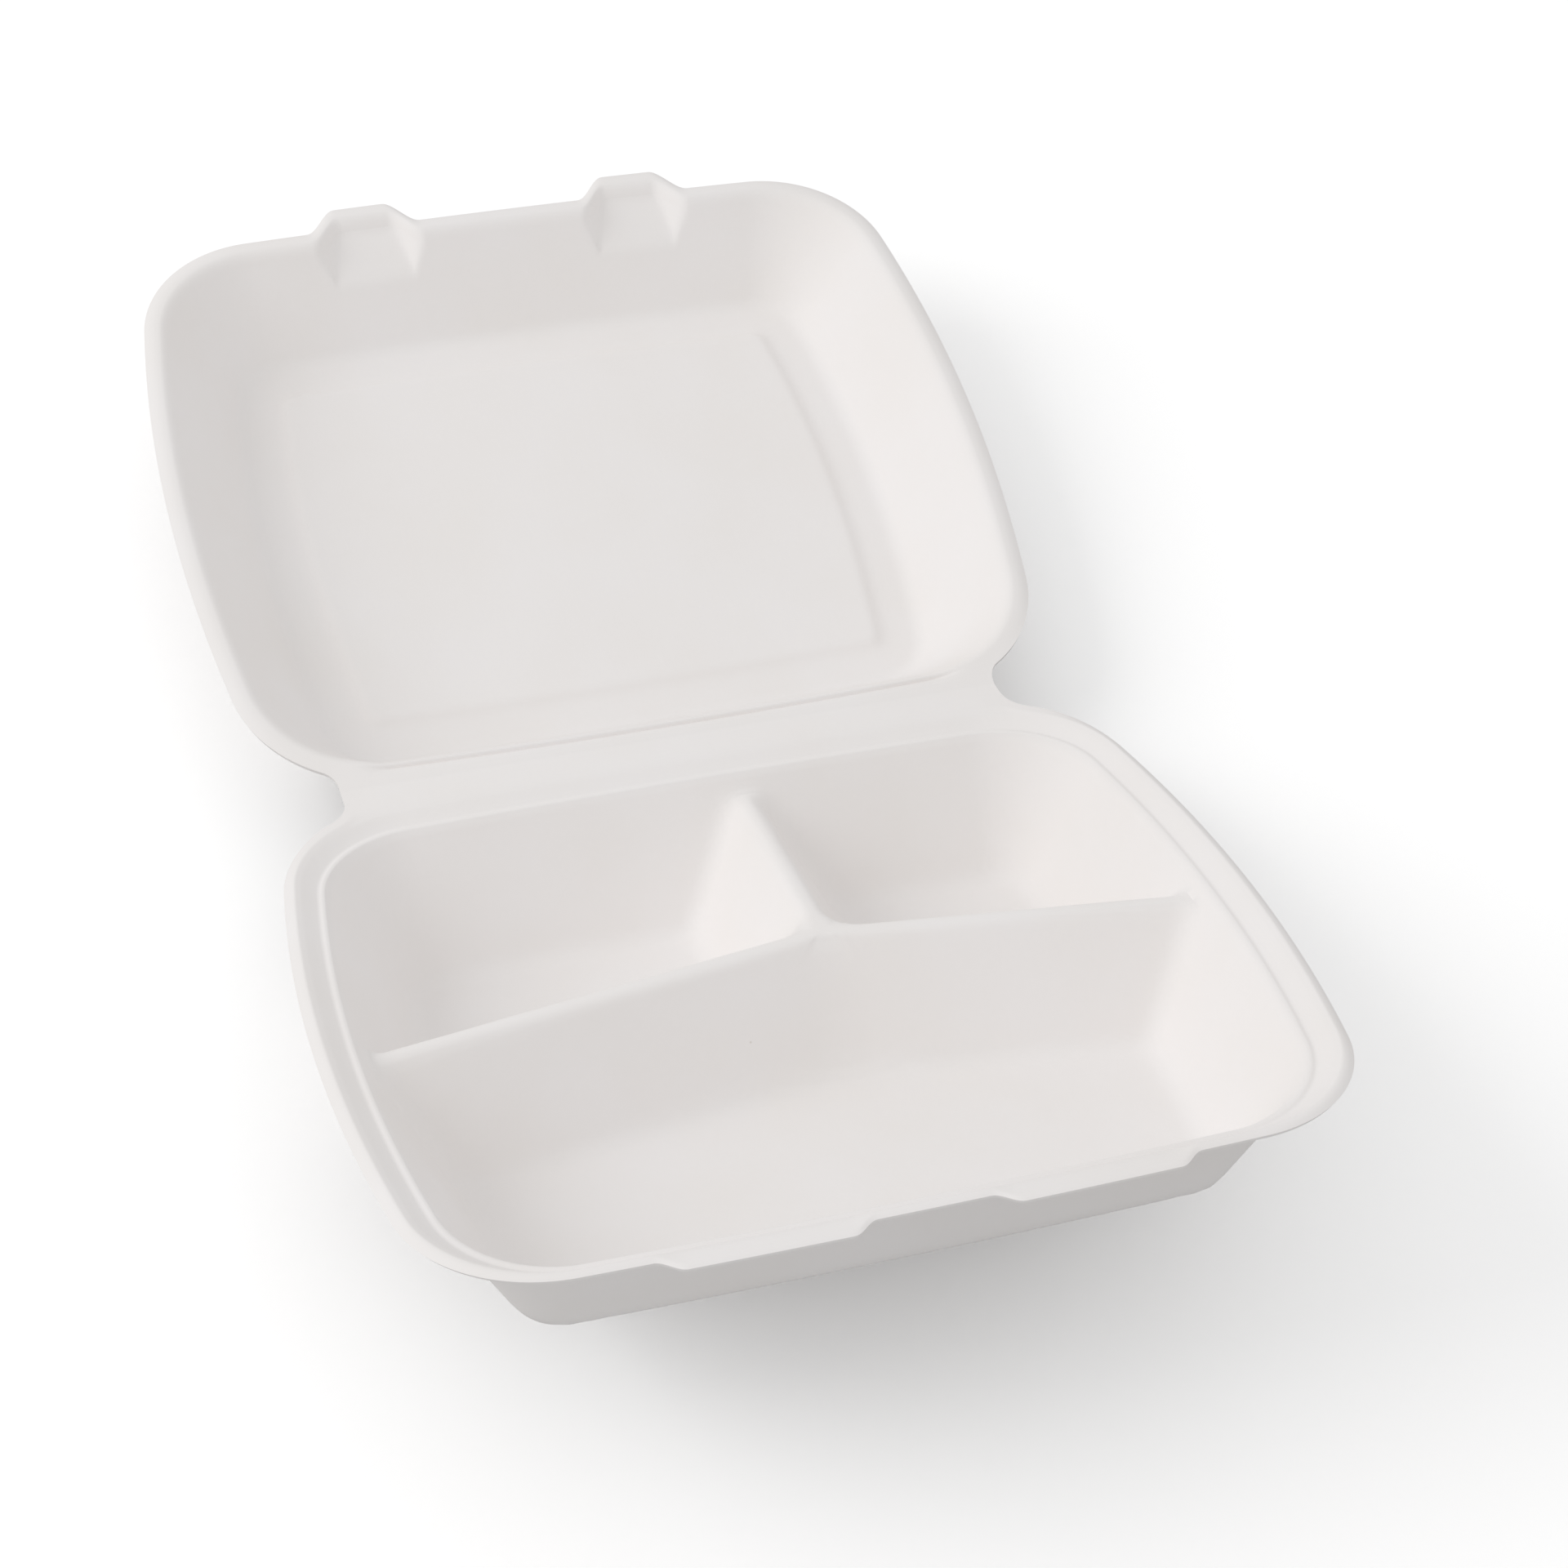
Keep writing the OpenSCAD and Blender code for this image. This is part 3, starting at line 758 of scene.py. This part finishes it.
@dataclass
class BaseSheet:
    """The base: flange with tabs, groove and bead, sloped walls, and dividers between them."""

    rim: RimShape
    hinge: Hinge
    sizes: TraySizes
    tabs: Bump
    turn: EdgeTurn
    place: Placement
    flange_rows: int = 30
    wall_rows: int = 24
    wall_share: float = 0.34
    floor_rows: int = 27
    foot_steps: int = 10
    crest_steps: int = 8
    deepest: float = 46.0

    def __post_init__(self) -> None:
        """Makes the stations, and the profiles of the walls and the dividers."""
        s, hinge = self.sizes, self.hinge
        self.stations = Stations(self.rim, hinge, hinge.base_back(), self.tabs, self.turn)
        self.wall_in = s.flange + s.bead
        self.wall_top = s.height - s.groove
        run = (self.wall_top - s.sheet) * math.tan(math.radians(s.draft))
        foot = foot_curve((self.wall_in + run, s.sheet), s.foot, s.draft, self.foot_steps)
        wall = np.vstack([[self.wall_in, self.wall_top], foot])
        self.wall_heights, self.wall_insets = wall[::-1, 1], wall[::-1, 0]
        self.ridge_heights, self.ridge_gaps = self._ridge()

    def _ridge(self) -> tuple[np.ndarray, np.ndarray]:
        """Profile of a divider.

        Returns:
            Heights from the floor up, and the distance from the divider's middle line at each.
        """
        s = self.sizes
        angles = np.linspace(0, math.radians(90 - s.divider_draft), self.crest_steps + 1)
        out = s.crest_flat + s.crest * np.sin(angles)
        crest = np.stack([out, s.divider - s.crest * (1 - np.cos(angles))], axis=1)
        run = (crest[-1, 1] - s.sheet) * math.tan(math.radians(s.divider_draft))
        corner = (crest[-1, 0] + run, s.sheet)
        line = np.vstack([crest, foot_curve(corner, s.foot, s.divider_draft, self.foot_steps)])
        return line[::-1, 1], line[::-1, 0]

    def _beside(self, x: np.ndarray, y: np.ndarray, heading: float) -> np.ndarray:
        """Distance to the left of a line through the dividers' junction, heading in degrees."""
        angle, junction = math.radians(heading), self.sizes.junction
        return (y - junction[1]) * math.cos(angle) - (x - junction[0]) * math.sin(angle)

    def height_at(self, x: np.ndarray, y: np.ndarray) -> np.ndarray:
        """Height of the base's inner face.

        Args:
            x: X of the points.
            y: Y of the points.

        Returns:
            The heights.
        """
        s = self.sizes
        inset = self.rim.inset_of(x, y, self.deepest)
        first, second = self._beside(x, y, 180 - s.sweep), self._beside(x, y, 180 + s.sweep)
        blend = np.clip(0.5 + 0.5 * (second - first) / s.front_blend, 0, 1)
        front = second * (1 - blend) + first * blend - s.front_blend * blend * (1 - blend)
        left = self._beside(x, y, s.sweep), self._beside(x, y, 90)
        right = self._beside(x, y, -s.sweep), self._beside(x, y, 270)
        low, high = np.full_like(x, s.sheet), np.full_like(x, self.wall_top)
        for _ in range(HEIGHT_HALVINGS):
            z = (low + high) / 2
            gap = np.interp(z, self.ridge_heights, self.ridge_gaps)
            rear = np.maximum(
                *(round_min(arm - gap, stem - gap, s.web) for arm, stem in (left, right))
            )
            from_ridge = np.where(z > s.divider, FAR, np.maximum(rear, front - gap))
            from_wall = inset - np.interp(z, self.wall_heights, self.wall_insets)
            below = round_min(from_wall, from_ridge, s.pocket) >= 0
            low, high = np.where(below, low, z), np.where(below, z, high)
        return (low + high) / 2

    def brow_at(self, x: np.ndarray, y: np.ndarray, sink: np.ndarray) -> np.ndarray:
        """Height of the walls' sunk upper end, or their full height where nothing is sunk."""
        past, top = self.rim.inset_of(x, y, self.deepest) - self.wall_in, self.wall_top
        return np.where(past < self.sizes.brow_share * sink, top - sink - past, top)

    def _flange(self) -> np.ndarray:
        """Profile from the outer edge over the inner slope, the groove and the bead to the wall.

        Returns:
            One row of numbers for each ring.
        """
        s, (begin, end) = self.sizes, self.sizes.slope_shares
        edge = [
            Row(a * s.flange, s.height, drop * s.edge_drop, front=1.0, back=1.0, sink=sink)
            for a, drop, sink in s.edge_shares
        ]
        slope = [
            Row(begin * s.flange, s.height, sink=s.slope_sink_share),
            Row(end * s.flange, self.wall_top, sink=1.0),
        ]
        bead = [
            Row(s.flange + a * s.bead, self.wall_top + rise * s.bead_rise, sink=1.0)
            for a, rise in s.bead_shares
        ]
        return eased([*edge, *slope, *bead], self.flange_rows, 1)

    def build(self) -> bpy.types.Object:
        """Models the base.

        Returns:
            The finished sheet.
        """
        s = self.sizes
        rings = [self.stations.ring(Row(*row)) for row in self._flange()]
        inner, junction = rings[-1], np.array([*s.junction, 0.0])
        sink = np.concatenate([self.stations.sink, self.stations.sink[::-1]])
        walls = np.linspace(0, self.wall_share, self.wall_rows + 1)[1:]
        floors = np.linspace(self.wall_share, 1.0, self.floor_rows + 1)[1:-1]
        for share in np.concatenate([walls, floors]):
            at = inner + share * (junction - inner)
            x, y = at[:, 0], at[:, 1]
            at[:, 2] = np.minimum(self.height_at(x, y), self.brow_at(x, y, sink))
            rings.append(at)
        obj = moulded("base_sheet", rings, np.array([*s.junction, s.divider]), self.place.base)
        thicken(obj, self.place.up(), s.sheet * MM)
        return obj

    def dress(self, obj: bpy.types.Object, material: bpy.types.Material) -> None:
        """Gives the base its finish and its CAD node's place.

        Args:
            obj: The finished sheet.
            material: The fibre.
        """
        coat(obj, material)
        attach(obj, Body.BASE.value)
        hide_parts("base")


@dataclass
class LidSheet:
    """The lid: lip with latches, sloped walls, and a top with a raised panel."""

    rim: RimShape
    hinge: Hinge
    sizes: LidSizes
    latches: Bump
    place: Placement
    lip_rows: int = 36
    wall_rows: int = 18
    foot_steps: int = 6
    panel_rows: int = 16
    middle_rows: int = 8
    crease_rows: int = 120

    def __post_init__(self) -> None:
        """Makes the stations."""
        back, turn = self.hinge.lid_back(), EdgeTurn()
        self.stations = Stations(self.rim, self.hinge, back, self.latches, turn)

    def _beside_hinge(self, inset: np.ndarray, foot: np.ndarray) -> np.ndarray:
        """Height of the lip and the wall beside the hinge, where a crease narrows the lip.

        Args:
            inset: Insets of the rows.
            foot: Inset and height where the wall's foot begins.

        Returns:
            The heights.
        """
        s, depth = self.sizes, self.hinge.crease
        crease = [
            [a * s.hinge_lip, -drop * s.lip_drop - deep * depth]
            for a, deep, drop in s.crease_shares
        ]
        brow = [s.hinge_lip, s.hinge_brow - s.lip_drop]
        line = eased([[0.0, 0.0], *crease, brow, foot.tolist()], self.crease_rows, 1)
        return np.interp(inset, line[:, 0], line[:, 1])

    def _lip(self, slope: float) -> np.ndarray:
        """Profile of the lip, which rounds into the top of the wall.

        Args:
            slope: How far the wall runs in for each millimetre down.

        Returns:
            One row of numbers for each ring.
        """
        s = self.sizes
        brow_in = s.lip - s.lip_drop * slope
        edge = [
            Row(a * s.lip, 0.0, drop * s.lip_drop, front=1.0, back=back)
            for a, drop, back in s.lip_shares
        ]
        brow = Row(brow_in, 0.0, front=1.0)
        wall = Row(s.lip + s.lip_run * slope, -s.lip_drop - s.lip_run, front=1.0)
        lip = eased([*edge, brow, wall], self.lip_rows, 1)
        near = np.clip(1 - np.abs(lip[:, 0] - brow_in) / s.brow, 0, 1)
        lip[:, 1] = -(np.maximum(lip[:, 0] - brow_in, 0) + s.brow / 4 * near**2) / slope
        return lip

    def _profile(self) -> np.ndarray:
        """Profile from the lip over the wall and its foot to the raised panel.

        Returns:
            One row of numbers for each ring.
        """
        s = self.sizes
        floor, slope = s.sheet - s.height, math.tan(math.radians(s.draft))
        corner = (s.lip + (-s.lip_drop - floor) * slope, floor)
        foot = foot_curve(corner, s.foot, s.draft, self.foot_steps)
        lip = self._lip(slope)
        latch_end = Row(s.lip + s.latch_depth * slope, -s.lip_drop - s.latch_depth)
        wall = eased([Row(*lip[-1]), latch_end, Row(*foot[0])], self.wall_rows, 0)
        wall = np.vstack([lip, wall[1:]])
        wall[:, CREASE] = wall[:, 1] - self._beside_hinge(wall[:, 0], foot[0])
        panel_in, panel_up = foot[-1, 0] + s.border, floor + s.step_rise
        panel = eased(
            [
                Row(foot[-1, 0], floor),
                Row(panel_in, floor),
                Row(panel_in + s.step, panel_up),
                Row(panel_in + 2 * s.step, panel_up),
            ],
            self.panel_rows,
            2,
        )
        return np.vstack([wall, [Row(*p) for p in foot[1:]], panel[1:]])

    def build(self) -> bpy.types.Object:
        """Models the lid.

        Returns:
            The finished sheet.
        """
        s = self.sizes
        rings = [self.stations.ring(Row(*row)) for row in self._profile()]
        inner, middle = rings[-1], np.array([0.0, 0.0, s.sheet - s.height + s.step_rise])
        for share in np.linspace(0, 1, self.middle_rows + 1)[1:-1]:
            rings.append(inner + share * (middle - inner))
        obj = moulded("lid_sheet", rings, middle, self.place.lid)
        thicken(obj, self.place.up(math.radians(self.hinge.angle)), s.sheet * MM)
        return obj

    def dress(self, obj: bpy.types.Object, material: bpy.types.Material) -> None:
        """Gives the lid its finish and its CAD node's place.

        Args:
            obj: The finished sheet.
            material: The fibre.
        """
        coat(obj, material)
        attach(obj, Body.LID.value)
        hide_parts("lid")


@dataclass
class HingeSheet:
    """The bent middle of the hinge strip, which turns from the base's plane into the lid's."""

    hinge: Hinge
    sizes: TraySizes
    place: Placement
    columns: int = 60
    rows: int = 16

    def ends(self) -> tuple[np.ndarray, np.ndarray]:
        """Middle points where the bend meets the base's half and the lid's half.

        Returns:
            Two points in the base's frame.
        """
        h, fold = self.hinge, self.place.fold
        start = np.array([0.0, fold[1] - h.bend, self.sizes.height])
        end = self.place.lid_in_base(np.array([[0.0, fold[1] - h.lid_bend, 0.0]]))[0]
        return start, end

    def build(self) -> bpy.types.Object:
        """Models the bend.

        Returns:
            The finished sheet.
        """
        start, end = self.ends()
        knee = np.array([0.0, self.place.fold[1], self.sizes.height])
        bpy.ops.object.select_all(action="DESELECT")
        bpy.ops.mesh.primitive_grid_add(
            x_subdivisions=self.columns, y_subdivisions=self.rows, size=2.0
        )
        obj = bpy.context.object
        obj.name = obj.data.name = "hinge_sheet"
        at = coords_of(obj.data)
        t = (at[:, 1:2] + 1) / 2
        curve = (1 - t) ** 2 * start + 2 * t * (1 - t) * knee + t**2 * end
        curve[:, 0] = at[:, 0] * self.hinge.length / 2
        move_all(obj.data, self.place.base(curve))
        thicken(obj, self.place.up(), self.sizes.sheet * MM)
        return obj

    def dress(self, obj: bpy.types.Object, material: bpy.types.Material) -> None:
        """Gives the bend its finish and bakes its place into its mesh.

        Args:
            obj: The finished sheet.
            material: The fibre.
        """
        coat(obj, material)
        start, end = (self.place.base(p[None])[0] for p in self.ends())
        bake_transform(obj)


# Finish


class Nodes:
    """Node tree of a material or a world, with short calls to add, set and link its nodes."""

    def __init__(self, owner: bpy.types.Material | bpy.types.World) -> None:
        """Turns the owner's nodes on."""
        owner.use_nodes = True
        self.tree = owner.node_tree

    @staticmethod
    def fill(node: bpy.types.Node, values: dict[str | int, Any]) -> bpy.types.Node:
        """Sets inputs of a node.

        Args:
            node: The node.
            values: Values of its inputs, by name or number.

        Returns:
            The same node.
        """
        for key, value in values.items():
            node.inputs[key].default_value = value
        return node

    def add(self, kind: str, values: dict[str | int, Any] | None = None) -> bpy.types.Node:
        """Adds a shader node of a kind, with values for its inputs."""
        return self.fill(self.tree.nodes.new("ShaderNode" + kind), values or {})

    def link(self, source: bpy.types.NodeSocket, node: bpy.types.Node, key: str | int) -> None:
        """Links an output to an input of a node."""
        self.tree.links.new(source, node.inputs[key])


@dataclass(frozen=True)
class FibreFinish:
    """Matte pressed sugarcane fibre: off-white, with faint clouds, fine fibres and a few specks."""

    name: str = "moulded_fibre"
    pale: tuple[float, float, float] = (0.93, 0.905, 0.895)
    warm: tuple[float, float, float] = (0.915, 0.885, 0.865)
    speck: tuple[float, float, float] = (0.42, 0.34, 0.25)
    roughness: float = 0.85
    specular: float = 0.25
    cloud_scale: float = 26.0
    cloud_detail: float = 4.0
    cloud_range: tuple[float, float] = (0.35, 0.75)
    speck_scale: float = 90.0
    speck_radii: tuple[float, float] = (0.03, 0.045)
    speck_strength: float = 0.35
    speck_rarity: float = 0.985
    fibre_scale: float = 420.0
    fibre_detail: float = 3.0
    fibre_stretch: tuple[float, float, float] = (1.0, 0.35, 1.0)
    grain: float = 0.12
    grain_depth: float = 0.0004

    def material(self) -> bpy.types.Material:
        """Makes the material.

        Returns:
            The material.
        """
        mat = bpy.data.materials.new(self.name)
        nodes = Nodes(mat)
        shader = nodes.fill(
            nodes.tree.nodes["Principled BSDF"],
            {"Roughness": self.roughness, "Specular IOR Level": self.specular},
        )
        places = nodes.add("TexCoord").outputs["Object"]
        colour = self._specks(nodes, places, self._clouds(nodes, places))
        nodes.link(colour, shader, "Base Color")
        stretch = nodes.add("Mapping", {"Scale": self.fibre_stretch})
        nodes.link(places, stretch, "Vector")
        fibres = nodes.add("TexNoise", {"Scale": self.fibre_scale, "Detail": self.fibre_detail})
        nodes.link(stretch.outputs["Vector"], fibres, "Vector")
        bump = nodes.add("Bump", {"Strength": self.grain, "Distance": self.grain_depth})
        nodes.link(fibres.outputs["Fac"], bump, "Height")
        nodes.link(bump.outputs["Normal"], shader, "Normal")
        return mat

    def _clouds(self, nodes: Nodes, places: bpy.types.NodeSocket) -> bpy.types.NodeSocket:
        """Adds the faint clouds of the pale and the warm tone.

        Args:
            nodes: Nodes of the material.
            places: Object coordinates.

        Returns:
            The colour.
        """
        clouds = nodes.add("TexNoise", {"Scale": self.cloud_scale, "Detail": self.cloud_detail})
        nodes.link(places, clouds, "Vector")
        low, high = self.cloud_range
        ramp = nodes.add("MapRange", {"From Min": low, "From Max": high})
        nodes.link(clouds.outputs["Fac"], ramp, "Value")
        mix = nodes.add("Mix")
        mix.data_type = "RGBA"
        nodes.fill(mix, {"A": (*self.pale, 1), "B": (*self.warm, 1)})
        nodes.link(ramp.outputs["Result"], mix, "Factor")
        return mix.outputs["Result"]

    def _specks(
        self, nodes: Nodes, places: bpy.types.NodeSocket, colour: bpy.types.NodeSocket
    ) -> bpy.types.NodeSocket:
        """Adds a few small specks to a colour.

        Args:
            nodes: Nodes of the material.
            places: Object coordinates.
            colour: Colour of the sheet.

        Returns:
            The colour with specks.
        """
        cells = nodes.add("TexVoronoi", {"Scale": self.speck_scale})
        nodes.link(places, cells, "Vector")
        near, far = self.speck_radii
        edges = {"From Min": near, "From Max": far, "To Min": self.speck_strength, "To Max": 0.0}
        dots = nodes.add("MapRange", edges)
        nodes.link(cells.outputs["Distance"], dots, "Value")
        parts = nodes.add("SeparateColor")
        nodes.link(cells.outputs["Color"], parts, "Color")
        rare = nodes.add("Math", {1: self.speck_rarity})
        rare.operation = "GREATER_THAN"
        nodes.link(parts.outputs["Red"], rare, 0)
        amount = nodes.add("Math")
        amount.operation = "MULTIPLY"
        nodes.link(dots.outputs["Result"], amount, 0)
        nodes.link(rare.outputs["Value"], amount, 1)
        mix = nodes.add("Mix")
        mix.data_type = "RGBA"
        nodes.fill(mix, {"B": (*self.speck, 1)})
        nodes.link(amount.outputs["Value"], mix, "Factor")
        nodes.link(colour, mix, "A")
        return mix.outputs["Result"]


# Studio


@dataclass(frozen=True)
class CameraFit:
    """Camera fitted to the photograph, in the base's frame."""

    pixels: float = 1920.0
    focal_pixels: float = 3980.3
    azimuth: float = -16.698
    elevation: float = 31.299
    roll: float = -0.859
    aim: tuple[float, float, float] = (30.273, 109.058, 20.0)
    distance: float = 903.583
    sensor: float = 36.0
    clip: tuple[float, float] = (0.01, 50.0)


@dataclass(frozen=True)
class Lamp:
    """A soft area light that looks at the box."""

    name: str
    at: tuple[float, float, float]
    aim: tuple[float, float, float]
    size: float
    power: float


@dataclass
class Studio:
    """Floor, light and camera; none of it belongs to the box."""

    place: Placement
    floor_size: float = 12.0
    floor_seen: float = 1.28
    floor_bounced: float = 0.6
    world_seen: float = 1.0
    world_light: float = 0.7

    def floor(self) -> None:
        """Lays a plain white floor that looks white to the camera."""
        bpy.ops.object.select_all(action="DESELECT")
        bpy.ops.mesh.primitive_plane_add(size=self.floor_size)
        obj = bpy.context.object
        obj.name = "floor"
        mat = bpy.data.materials.new("floor_white")
        nodes = Nodes(mat)
        nodes.tree.nodes.remove(nodes.tree.nodes["Principled BSDF"])
        mix = nodes.add("MixShader")
        nodes.link(nodes.add("LightPath").outputs["Is Camera Ray"], mix, 0)
        for key, level in ((1, self.floor_bounced), (2, self.floor_seen)):
            paint = nodes.add("BsdfDiffuse", {"Color": (level, level, level, 1)})
            nodes.link(paint.outputs[0], mix, key)
        nodes.link(mix.outputs[0], nodes.tree.nodes["Material Output"], "Surface")
        obj.data.materials.append(mat)

    def world(self) -> None:
        """Sets a surrounding that is white to the camera and softer as light."""
        world = bpy.data.worlds.new("studio")
        bpy.context.scene.world = world
        nodes = Nodes(world)
        back = nodes.fill(nodes.tree.nodes["Background"], {"Color": (1, 1, 1, 1)})
        level = nodes.add("MapRange", {"To Min": self.world_light, "To Max": self.world_seen})
        nodes.link(nodes.add("LightPath").outputs["Is Camera Ray"], level, "Value")
        nodes.link(level.outputs["Result"], back, "Strength")

    def lamp(self, lamp: Lamp) -> None:
        """Hangs an area light.

        Args:
            lamp: The light's sizes.
        """
        data = bpy.data.lights.new(lamp.name, "AREA")
        data.energy, data.size = lamp.power, lamp.size
        obj = bpy.data.objects.new(lamp.name, data)
        bpy.context.scene.collection.objects.link(obj)
        obj.location = lamp.at
        way = Vector(lamp.aim) - Vector(lamp.at)
        obj.rotation_euler = way.to_track_quat("-Z", "Y").to_euler()

    def camera(self, fit: CameraFit) -> None:
        """Sets the camera at the photograph's view.

        Args:
            fit: The fitted camera.
        """
        az, el, roll = (math.radians(v) for v in (fit.azimuth, fit.elevation, fit.roll))
        level = math.cos(el)
        back = np.array([math.sin(az) * level, -math.cos(az) * level, math.sin(el)])
        right = np.array([math.cos(az), math.sin(az), 0.0])
        up = np.cross(back, right)
        across = right * math.cos(roll) + up * math.sin(roll)
        above = up * math.cos(roll) - right * math.sin(roll)
        eye = self.place.base((np.array(fit.aim) + back * fit.distance)[None])[0]
        axes = self.place.turned(np.array([across, above, back]))
        data = bpy.data.cameras.new("camera")
        data.sensor_width = fit.sensor
        data.lens = fit.focal_pixels / fit.pixels * data.sensor_width
        data.clip_start, data.clip_end = fit.clip
        obj = bpy.data.objects.new("camera", data)
        bpy.context.scene.collection.objects.link(obj)
        matrix = np.vstack([np.column_stack([axes.T, eye]), [0, 0, 0, 1]])
        obj.matrix_world = Matrix(matrix.tolist())
        bpy.context.scene.camera = obj

    def plain_colours(self) -> None:
        """Sets the plain view transform."""
        bpy.context.scene.view_settings.view_transform = "Standard"


def main() -> None:
    """Builds the box, dresses it and sets the studio."""
    logging.basicConfig(level=logging.INFO, format="%(name)s %(message)s")
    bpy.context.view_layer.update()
    rim, lid_rim, hinge = RimShape(), RimShape(corner_keep=0.17), Hinge()
    tray, lid = TraySizes(), LidSizes()
    tabs = Bump(gap=77.0, length=37.5, ramp=6.5, out=4.0, taper=0.0)
    latches = Bump(gap=85.0, length=15.0, ramp=10.0, out=9.0, taper=1.0)
    turn = EdgeTurn(front_drop=0.4, front_sink=3.0, side_sink=0.7)
    place = Placement(frame["record"], rim, hinge, tray)
    fibre = FibreFinish().material()
    sheets = (
        BaseSheet(rim, hinge, tray, tabs, turn, place),
        LidSheet(lid_rim, hinge, lid, latches, place),
        HingeSheet(hinge, tray, place),
    )
    built = [sheet.build() for sheet in sheets]
    for sheet, obj in zip(sheets, built):
        sheet.dress(obj, fibre)
        LOG.info("%s: %d faces", obj.name, len(obj.data.polygons))
    studio = Studio(place)
    studio.floor()
    studio.world()
    key = Lamp(name="key", at=(-1.6, 0.35, 1.15), aim=(0.0, 0.0, 0.05), size=1.2, power=10.7)
    studio.lamp(key)
    studio.camera(CameraFit())
    studio.plain_colours()


if __name__ == "__main__":
    main()
